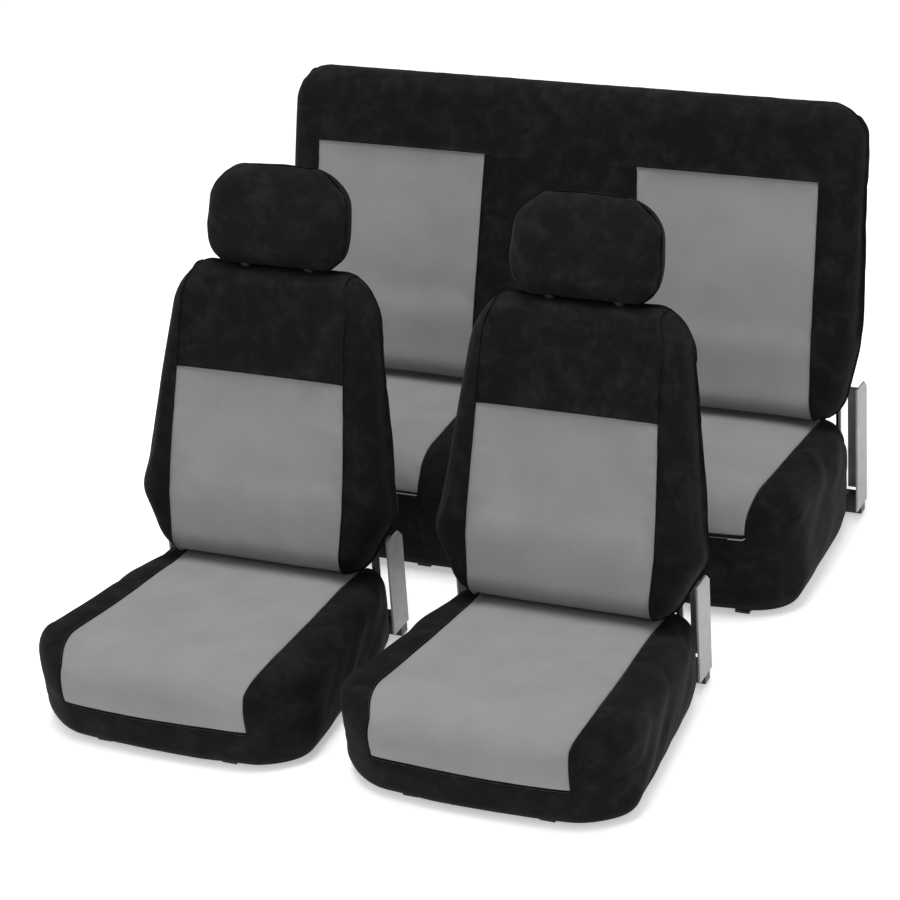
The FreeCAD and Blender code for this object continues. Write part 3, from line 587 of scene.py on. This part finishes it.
# Each copy says what its pieces are called, which nodes they stand for, their body and where they go
def sewForm(form, cfg, lines, copies):
    mesh = form["object"].data
    co, out = coordinates(mesh), normals(mesh)
    paths = [(co[line], out[line]) for line in lines]
    refine(form["object"])
    for piecePrefix, nodePrefix, body, place, mirrored in copies:
        turn = placed(place, mirrored)
        for n, tag in enumerate(form["panels"]):
            panel = cutPanel(form["object"].data, n, piecePrefix + "Cover." + tag)
            panel.transform(turn)
            if mirrored:
                panel.flip_normals()
            piece = addPiece(panel)
            material, slotName = cfg["finish"].get(tag, velourFinish)
            finishPiece(piece, material, body, slotName)
            inner = cfg["inside"] if tag == cfg["outer"] else ()
            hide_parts(*[f"{nodePrefix}_{part}" for part in (f"cover_{tag}", *inner)])
        finishPiece(stitches(piecePrefix + "Stitching", paths, turn), thread, body, "black_elastic")
    bpy.data.objects.remove(form["object"])


def rowLine(form, j, level, first, last):
    return [form["index"][(i, j, level)] for i in range(first, last + 1)]


def columnLines(form, cfg, i, level, rows):  # one on each side of the middle
    return [[form["index"][(column, r, level)] for r in rows] for column in (i, 2 * cfg["centre"] - i)]


def fromMiddle(cfg, i):  # cells count outward from the middle on both sides
    return i if i >= cfg["centre"] else 2 * cfg["centre"] - 1 - i


def leanMatrix(joint, degrees):
    return Matrix.Translation(joints[joint]["pos_m"]) @ Matrix.Rotation(math.radians(-degrees), 4, "X")


def standMatrix(joint):
    x, y, _ = joints[joint]["pos_m"]
    return Matrix.Translation((x, y, 0))


slideAxis = joints["left_headrest_slide"]["axis"]
frontLean = math.degrees(math.atan2(slideAxis[1], slideAxis[2]))
benchLean = 12.0
slack = 0.01  # so that a loop that lies on a seam counts as past it


# Backrests. Rows and heights are measured from the hinge line, up the leaned backrest.

frontBack = {
    "wide": 275, "low": -60, "high": 528, "thick": 56, "edge": 46, "cornerHigh": 92, "cornerLow": 52,
    "frontAt": (-60, 60, 528), "frontIs": (55, 59, 53), "rearAt": (-60, 60, 528), "rearIs": (56, 57, 45),
    "insertTop": 320, "rearSeam": 8, "slotTop": 46, "slotFront": -36,
    "bolster": 9, "dish": 5, "crown": 4,
    "insertName": "insert", "aboveName": "yoke", "besideName": "wings",
    "holdFrom": -20, "holdTo": 170, "holdSeams": 1.0, "holdFoot": 1.0, "swellMm": 5,
    "ruffles": [(120, 1.6, 3.1), (45, 0.7, 7.7)], "seamMm": 2.6,
    "finish": {**panelFinish, "rear": backingFinish}, "outer": "rear",
    "inside": ("core", "closure"), "fill": 0.85}
frontBack["half"] = smoothCurve([-60, -4, 62, 446, 528], [221, 238, 275, 224, 213], 0.05)


def backDepth(along, deep, cfg):  # the side view tapers to the top, front and rear each in their own way
    t = deep / cfg["thick"]
    front = np.interp(along, cfg["frontAt"], cfg["frontIs"])
    rear = np.interp(along, cfg["rearAt"], cfg["rearIs"])
    return np.where(t < 0, t * front, t * rear), np.clip(-t, 0, 1) ** 2


def frontBackShape(across, along, deep):
    u = np.abs(across) / frontBack["half"](along)
    y, forward = backDepth(along, deep, frontBack)
    bolster = frontBack["bolster"] * bump(u, 0.62, 1.08) * step(along, 10, 120) * (1 - step(along, 380, 520))
    dish = frontBack["dish"] * (1 - step(u, 0.2, 0.75)) * bump(along, 90, 330)
    crown = frontBack["crown"] * (1 - u ** 2) * step(along, 330, 430) * (1 - step(along, 470, 528))
    return across, y - forward * (bolster + crown - dish), along


def backPanel(cfg):
    def panel(i, j, k, side):
        level, row, x = cfg["levels"][k], cfg["rows"][j], fromMiddle(cfg, i)
        slot = cfg["slotCells"][0] <= x < cfg["slotCells"][1]
        if side == "c" or (side != "C" and level >= cfg["rearSeam"] - slack):
            cut = side == "B" or (side == "c" and row < cfg["slotTop"])
            return None if slot and cut else "rear"
        inside = cfg["insertCells"][0] <= x < cfg["insertCells"][1]
        if side == "B" and slot and level > cfg["slotFront"]:
            return None
        if side in "Aa" or not inside:
            return cfg["besideName"]
        if side == "B" or (side == "C" and row < cfg["insertTop"] - slack):
            return cfg["insertName"]
        return cfg["aboveName"]
    return panel


# The hinge slots in the foot stay straight although the outline's corner bends round them
def slotLine(cfg, at):
    inner = cfg["wide"] - cfg["cornerLow"]

    def line(along):
        scaled = at(along) / cfg["half"](along) * cfg["wide"]
        t = np.clip((cfg["low"] - along) / cfg["cornerLow"] + 1, 0, 1)
        scaled = np.where(scaled > inner, inner + (scaled - inner) / np.sqrt(1 - t * t / 2), scaled)
        return scaled * cfg["half"](along) / cfg["wide"]
    return line


def broken(xs, ys):
    return lambda x: np.interp(x, xs, ys)


insertSeam = smoothCurve([-60, 84, 320, 528], [182, 193, 183, 178], 0.08)
slotInner = slotLine(frontBack, broken([-60, 50, 120, 528], [188, 188, 190, 178]))
makeColumns(frontBack, [(insertSeam, slotInner, (-10, -3.5, 0, 3.5, 14))], 13)
makeRows(frontBack, [frontBack["slotTop"], frontBack["insertTop"]], 13)
makeLevels(frontBack, [-3, 4.5, frontBack["rearSeam"], 11.5], 12)
seam = frontBack["seamsAt"][0]
frontBack["insertCells"], frontBack["slotCells"] = (0, seam), (seam, seam + 2)
form = makeForm("frontBackForm", frontBack, frontBackShape, backPanel(frontBack))
fillForm(form, frontBack)
top = nearest(frontBack["rows"], frontBack["insertTop"])
lines = columnLines(form, frontBack, seam + 1, 0, range(4, len(frontBack["rows"]) - 4))
lines.append(rowLine(form, top + 1, 0, 2 * frontBack["centre"] - seam, seam))
sewForm(form, frontBack, lines, [
    (side + "Backrest", side + "_backrest", side + "_backrest", leanMatrix(side + "_recline", frontLean),
     side == "right") for side in ("left", "right")])
print("front backrest covers made")


# Head restraint: its own backrest's frame, above the backrest's top

headGap, headRise = 7, 187
headBase = frontBack["high"] + headGap
head = {
    "wide": 150, "low": headBase - 4, "high": headBase + headRise, "thick": 49, "edge": 35,
    "cornerHigh": 72, "cornerLow": 44, "seam": -12,
    "profileAt": (0, 0.45, 1), "frontIs": (49, 51, 37), "rearIs": (40, 46, 37),
    "holdFrom": headBase, "holdTo": headBase + 25, "holdSeams": 0.9, "holdFoot": 0.1, "swellMm": 4,
    "ruffles": [(70, 1.3, 5.2), (28, 0.6, 1.4)], "seamMm": 2.0,
    "finish": {}, "outer": "rear", "inside": ("core", "closure"), "fill": 0.9}
head["half"] = smoothCurve([headBase - 4, headBase + 60, headBase + 130, headBase + headRise],
                           [141, 150, 147, 136], 0.12)


def headShape(across, along, deep):
    v = (along - headBase) / headRise
    u = np.abs(across) / head["half"](along)
    t = deep / head["thick"]
    front = np.interp(v, head["profileAt"], head["frontIs"])
    rear = np.interp(v, head["profileAt"], head["rearIs"])
    y = np.where(t < 0, t * front, t * rear) - np.clip(-t, 0, 1) ** 2 * 2.5 * (1 - u ** 2)
    arch = 3 * (1 - u ** 2) * step(v, 0.6, 1) - 4 * u ** 2 * step(v, 0.7, 1)  # the top is higher in the middle
    return across, y, along + arch


def headPanel(i, j, k, side):
    return "front" if side == "C" or (side != "c" and head["levels"][k] < head["seam"] - slack) else "rear"


makeColumns(head, [], 11)
makeRows(head, [], 10)
makeLevels(head, [head["seam"] - 3.5, head["seam"], head["seam"] + 3.5], 9)
form = makeForm("headForm", head, headShape, headPanel)
fillForm(form, head)
level = nearest(head["levels"], head["seam"] - 3.5)
lastColumn, lastRow = len(head["columns"]) - 1, len(head["rows"]) - 1
ring = ([(0, r) for r in range(2, lastRow + 1)] + [(c, lastRow) for c in range(1, lastColumn + 1)]
        + [(lastColumn, r) for r in range(lastRow - 1, 1, -1)])  # up one side, over the top and down the other
sewForm(form, head, [[form["index"][(i, j, level)] for i, j in ring]], [
    (side + "Headrest", side + "_headrest", side + "_headrest", leanMatrix(side + "_recline", frontLean),
     side == "right") for side in ("left", "right")])
print("head restraint covers made")


# Cushions. Rows run from the nose to the tail, levels from the hem to the top, heights are above the floor.

frontPad = {
    "wide": 290, "low": -518, "high": 62, "thick": 84, "edge": 38, "cornerHigh": 56, "cornerLow": 112,
    "hem": 3, "noseTop": 172, "seamHeight": 92, "hemLoops": 7, "insertName": "insert",
    "bolster": 8, "dish": 5, "bow": 26, "toe": 14, "length": 574,
    "holdFrom": 12, "holdTo": 60, "holdSeams": 1.0, "holdFoot": 1.0, "swellMm": 6,
    "ruffles": [(130, 1.8, 9.1), (50, 0.8, 2.2)], "seamMm": 2.6,
    "folds": {"slope": 0.7, "foldMm": 46, "lengthMm": 210, "heightMm": 5.5, "from": 4, "full": 40, "seed": 3.3},
    "finish": panelFinish, "outer": "sides", "inside": ("core",), "fill": 0.85}
frontPad["half"] = smoothCurve([-518, -400, -70, 62], [287, 290, 262, 234], 0.1)
frontPad["top"] = smoothCurve([-518, -474, -430, -200, 0, 62], [172, 194, 199, 183, 172, 168], 0.08)


def padHeight(along, deep, cfg):
    share = (deep + cfg["thick"]) / (2 * cfg["thick"])
    z = cfg["hem"] + share * (cfg["top"](along) - cfg["hem"])
    return z, np.clip(deep / cfg["thick"], 0, 1) ** 2, (cfg["high"] - along) / cfg["length"]


def toeIn(deep, v, cfg):  # the front tucks back towards the hem
    return cfg["toe"] * step(-deep / cfg["thick"], -0.6, 1) * step(v, 0.8, 1)


def frontPadShape(across, along, deep):
    z, upper, v = padHeight(along, deep, frontPad)
    u = np.abs(across) / frontPad["half"](along)
    bolster = frontPad["bolster"] * bump(u, 0.66, 1.12) * step(v, 0.18, 0.4) * (1 - step(v, 0.86, 1))
    dish = frontPad["dish"] * (1 - step(u, 0.1, 0.72)) * bump(v, 0.12, 0.72)
    bow = frontPad["bow"] * u ** 2.2 * step(v, 0.72, 1)
    return across, along + bow + toeIn(deep, v, frontPad), z + upper * (bolster - dish)


def padPanel(cfg):
    lastColumn, lastRow = len(cfg["columns"]) - 1, len(cfg["rows"]) - 1

    def panel(i, j, k, side):
        loops = cfg["hemLoops"]
        inside = cfg["insertCells"][0] <= fromMiddle(cfg, i) < cfg["insertCells"][1]
        if side == "C":
            return None if loops <= i < lastColumn - loops and loops <= j < lastRow - loops else "sides"
        onEnd = side in "Bb" and cfg["levels"][k] > cfg["seamLevel"] - slack
        return cfg["insertName"] if inside and (side == "c" or onEnd) else "sides"
    return panel


def levelAt(cfg, height):
    share = (height - cfg["hem"]) / (cfg["noseTop"] - cfg["hem"])
    return (2 * share - 1) * cfg["thick"]


cushionSeam = smoothCurve([-518, -445, -70, 62], [203, 209, 188, 188], 0.08)
frontPad["seamLevel"] = levelAt(frontPad, frontPad["seamHeight"])
makeColumns(frontPad, [(cushionSeam, cushionSeam, seamShifts)], 13)
makeRows(frontPad, [], 13)
makeLevels(frontPad, [frontPad["seamLevel"] + shift for shift in (-8, -3.5, 0, 3.5, 8)], 11)
seam = frontPad["seamsAt"][0]
frontPad["insertCells"] = (0, seam)
form = makeForm("frontPadForm", frontPad, frontPadShape, padPanel(frontPad))
openUnder(form)
fillForm(form, frontPad)
lines = columnLines(form, frontPad, seam + 1, len(frontPad["levels"]) - 1, range(len(frontPad["rows"])))
below = nearest(frontPad["levels"], frontPad["seamLevel"]) - 1
lines.append(rowLine(form, 0, below, 2 * frontPad["centre"] - seam, seam))
sewForm(form, frontPad, lines, [
    (side + "Cushion", side + "_cushion", "seat_bases", standMatrix(side + "_recline"), side == "right")
    for side in ("left", "right")])
print("front cushion covers made")


# Rear bench backrest

benchBack = {
    "wide": 653, "low": -60, "high": 600, "thick": 54, "edge": 46, "cornerHigh": 78, "cornerLow": 52,
    "frontAt": (-60, 20, 80, 600), "frontIs": (53, 55, 59, 51), "rearAt": (-60, 60, 600), "rearIs": (60, 58, 45),
    "insertTop": 441, "rearSeam": 8, "slotTop": 46, "slotFront": -36, "slotMiddle": 591.5,
    "crown": 5, "valley": 4,
    "insertName": "inserts", "aboveName": "surround", "besideName": "surround",
    "holdFrom": -20, "holdTo": 190, "holdSeams": 1.0, "holdFoot": 1.0, "swellMm": 6,
    "ruffles": [(150, 2.0, 4.4), (55, 0.8, 8.3)], "seamMm": 2.4,
    "finish": {**panelFinish, "rear": backingFinish}, "outer": "rear",
    "inside": ("core", "closure"), "fill": 0.85}
benchBack["half"] = smoothCurve([-60, 100, 545, 600], [618, 653, 646, 642], 0.1)


def benchBackShape(across, along, deep):
    y, forward = backDepth(along, deep, benchBack)
    out = np.abs(across)
    crown = benchBack["crown"] * bump(out, 150, 600) * bump(along, 40, 460)
    valley = benchBack["valley"] * (1 - step(out, 20, 150)) * bump(along, -20, 420)
    return across, y - forward * (crown - valley), along


innerSeam = smoothCurve([-60, 441, 600], [194, 172, 166], 0.08)
outerSeam = smoothCurve([-60, 441, 600], [570, 564, 562], 0.08)
slotMiddle = slotLine(benchBack, lambda along: benchBack["slotMiddle"] + 0 * along)
makeColumns(benchBack, [(innerSeam, innerSeam, seamShifts), (outerSeam, outerSeam, (-10, -3.5, 0, 3.5, 7)),
                        (slotMiddle, slotMiddle, (-12, -7.5, 0, 7.5, 10))], 15)
makeRows(benchBack, [benchBack["slotTop"], benchBack["insertTop"]], 15)
makeLevels(benchBack, [-3, 4.5, benchBack["rearSeam"], 11.5], 12)
inner, outer, slot = benchBack["seamsAt"]
benchBack["insertCells"], benchBack["slotCells"] = (inner, outer), (slot - 1, slot + 1)
form = makeForm("benchBackForm", benchBack, benchBackShape, backPanel(benchBack))
fillForm(form, benchBack)
top = nearest(benchBack["rows"], benchBack["insertTop"])
rows = range(5, top + 1)
lines = columnLines(form, benchBack, inner - 1, 0, rows) + columnLines(form, benchBack, outer + 1, 0, rows)
lines.append(rowLine(form, top + 1, 0, inner, outer))
lines.append(rowLine(form, top + 1, 0, 2 * benchBack["centre"] - outer, 2 * benchBack["centre"] - inner))
sewForm(form, benchBack, lines, [("benchBackrest", "rear_bench_backrest", "bench_backrest",
                                  leanMatrix("bench_fold", benchLean), False)])
print("bench backrest cover made")


# Rear bench cushion

benchPad = {
    "wide": 648, "low": -458, "high": 62, "thick": 118, "edge": 42, "cornerHigh": 60, "cornerLow": 96,
    "hem": 3, "noseTop": 224, "seamHeight": 190, "hemLoops": 7, "insertName": "inserts",
    "crown": 6, "valley": 3, "bow": 16, "toe": 14, "length": 520,
    "holdFrom": 12, "holdTo": 70, "holdSeams": 1.0, "holdFoot": 1.0, "swellMm": 6,
    "ruffles": [(150, 2.0, 6.4), (55, 0.8, 1.3)], "seamMm": 2.4,
    "folds": {"slope": 0.7, "foldMm": 58, "lengthMm": 240, "heightMm": 6, "from": 4, "full": 60, "seed": 7.1},
    "finish": panelFinish, "outer": "sides", "inside": ("core",), "fill": 0.85}
benchPad["half"] = smoothCurve([-458, -330, -70, 62], [645, 648, 640, 618], 0.12)
benchPad["top"] = smoothCurve([-458, -410, -370, -200, -60, 62], [224, 250, 257, 251, 243, 236], 0.08)


def benchPadShape(across, along, deep):
    z, upper, v = padHeight(along, deep, benchPad)
    out = np.abs(across)
    crown = benchPad["crown"] * bump(out, 150, 600) * bump(v, 0.3, 1.1)
    valley = benchPad["valley"] * (1 - step(out, 20, 150)) * bump(v, 0.1, 1)
    bow = benchPad["bow"] * step(out / benchPad["half"](along), 0.7, 1) * step(v, 0.72, 1)
    return across, along + bow + toeIn(deep, v, benchPad), z + upper * (crown - valley)


innerSeam = smoothCurve([-458, 62], [149, 194], 0.08)
outerSeam = smoothCurve([-458, 62], [561, 570], 0.08)
benchPad["seamLevel"] = levelAt(benchPad, benchPad["seamHeight"])
makeColumns(benchPad, [(innerSeam, innerSeam, seamShifts), (outerSeam, outerSeam, seamShifts)], 15)
makeRows(benchPad, [], 15)
makeLevels(benchPad, [benchPad["seamLevel"]], 12)
inner, outer = benchPad["insertCells"] = benchPad["seamsAt"]
form = makeForm("benchPadForm", benchPad, benchPadShape, padPanel(benchPad))
openUnder(form)
fillForm(form, benchPad)
level, rows = len(benchPad["levels"]) - 1, range(len(benchPad["rows"]))
lines = columnLines(form, benchPad, inner - 1, level, rows) + columnLines(form, benchPad, outer + 1, level, rows)
sewForm(form, benchPad, lines, [("benchCushion", "rear_bench_cushion", "seat_bases",
                                 standMatrix("bench_fold"), False)])
print("bench cushion cover made")


# Seat frames and fittings keep their own shapes and get their finishes

fittings = {"hinge_covers": hard["aluminiumGreyAbsMoulded"], "base_frame": hard["blackSatinPaintSteel"],
            "backrest_frame": hard["blackSatinPaintSteel"], "seat_pan": hard["hotDipZincSteel"],
            "hinge_brackets": hard["chromePlatedSteel"], "headrest_posts": hard["chromePlatedSteel"],
            "headrest_guides": hard["blackMouldedPolypropylene"], "hem_elastic": tape, "cushion_straps": tape}
for nodeName, node in frame["nodes"].items():
    for part, finish in fittings.items():
        if nodeName.endswith(part):
            for held in node.material_slots:
                held.link = "OBJECT"
                held.material = finish
print("frame finishes set")


# Floor, light and camera

studio = {"reach": 60, "glow": 0.42, "paper": ("#f3f3f3", "#f6f6f6"), "sky": 0.5,
          "lights": {"keyLight": {"place": (-2.4, -3.4, 3.6), "aim": (0, 0, 0.3), "size": 2.6, "power": 26},
                     "fillLight": {"place": (3.6, -2.2, 2.2), "aim": (0, 0, 0.4), "size": 2.6, "power": 18},
                     "topLight": {"place": (0.1, -0.5, 4.2), "aim": (0, 0.1, 0.3), "size": 3.0, "power": 165}}}


# Matte paper lit from below as well, so that the ground stays white with only a faint shadow
def paperMaterial(name, cfg):
    made, tree, body, place = newMaterial(name, {"Roughness": 0.9, "Specular IOR Level": 0.1,
                                                 "Emission Color": (1, 1, 1, 1), "Emission Strength": cfg["glow"]})
    fibres = addNode(tree, "TexNoise", inputs={"Scale": 3.0, "Detail": 2.0}, links={"Vector": place})
    tone = addNode(tree, "ValToRGB", links={"Fac": fibres.outputs["Fac"]},
                   stops=[(0.3, cfg["paper"][0]), (0.7, cfg["paper"][1])])
    tree.links.new(tone.outputs["Color"], body.inputs["Base Color"])
    return made


def addFloor(cfg):
    mesh = bpy.data.meshes.new("sweep")
    far = cfg["reach"]
    mesh.from_pydata([(x * far, y * far, -0.5 * mm) for x, y in ((-1, -1), (1, -1), (1, 1), (-1, 1))],
                     [], [(0, 1, 2, 3)])
    mesh.materials.append(paperMaterial("mattePaperSweep", cfg))
    made = bpy.data.objects.new("sweep", mesh)
    scene.collection.objects.link(made)


def addLight(name, cfg):
    lamp = bpy.data.lights.new(name, "AREA")
    lamp.shape, lamp.size, lamp.energy = "DISK", cfg["size"], cfg["power"]
    made = bpy.data.objects.new(name, lamp)
    made.location = cfg["place"]
    made.rotation_euler = (Vector(cfg["aim"]) - made.location).to_track_quat("-Z", "Y").to_euler()
    scene.collection.objects.link(made)


def addSky(strength):
    world = bpy.data.worlds.new("studio")
    world.use_nodes = True
    background = world.node_tree.nodes["Background"]
    background.inputs["Color"].default_value = (1, 1, 1, 1)
    background.inputs["Strength"].default_value = strength
    scene.world = world


# Angles in degrees; the focal length and the optical centre are in units of a frame 900 wide and high
view = {"place": (2.249, -4.728, 2.815), "azimuth": 25.761, "elevation": 26.028, "roll": -4.131,
        "focal": 2901.04, "centre": (445.43, 496.74), "frame": 900}


def addCamera(cfg):
    az, el, roll = (math.radians(cfg[key]) for key in ("azimuth", "elevation", "roll"))
    back = Vector((math.sin(az) * math.cos(el), -math.cos(az) * math.cos(el), math.sin(el)))
    right = (-back).cross(Vector((0, 0, 1))).normalized()
    up = right.cross(-back)
    turned = [math.cos(roll) * right + math.sin(roll) * up, -math.sin(roll) * right + math.cos(roll) * up, back]
    data = bpy.data.cameras.new("camera")
    data.lens = cfg["focal"] / cfg["frame"] * data.sensor_width
    data.shift_x = 0.5 - cfg["centre"][0] / cfg["frame"]
    data.shift_y = cfg["centre"][1] / cfg["frame"] - 0.5
    made = bpy.data.objects.new("camera", data)
    made.matrix_world = Matrix.Translation(cfg["place"]) @ Matrix(turned).transposed().to_4x4()
    scene.collection.objects.link(made)
    scene.camera = made


addFloor(studio)
addSky(studio["sky"])
for name, cfg in studio["lights"].items():
    addLight(name, cfg)
addCamera(view)
scene.view_settings.view_transform = "Standard"

print("scene ready")
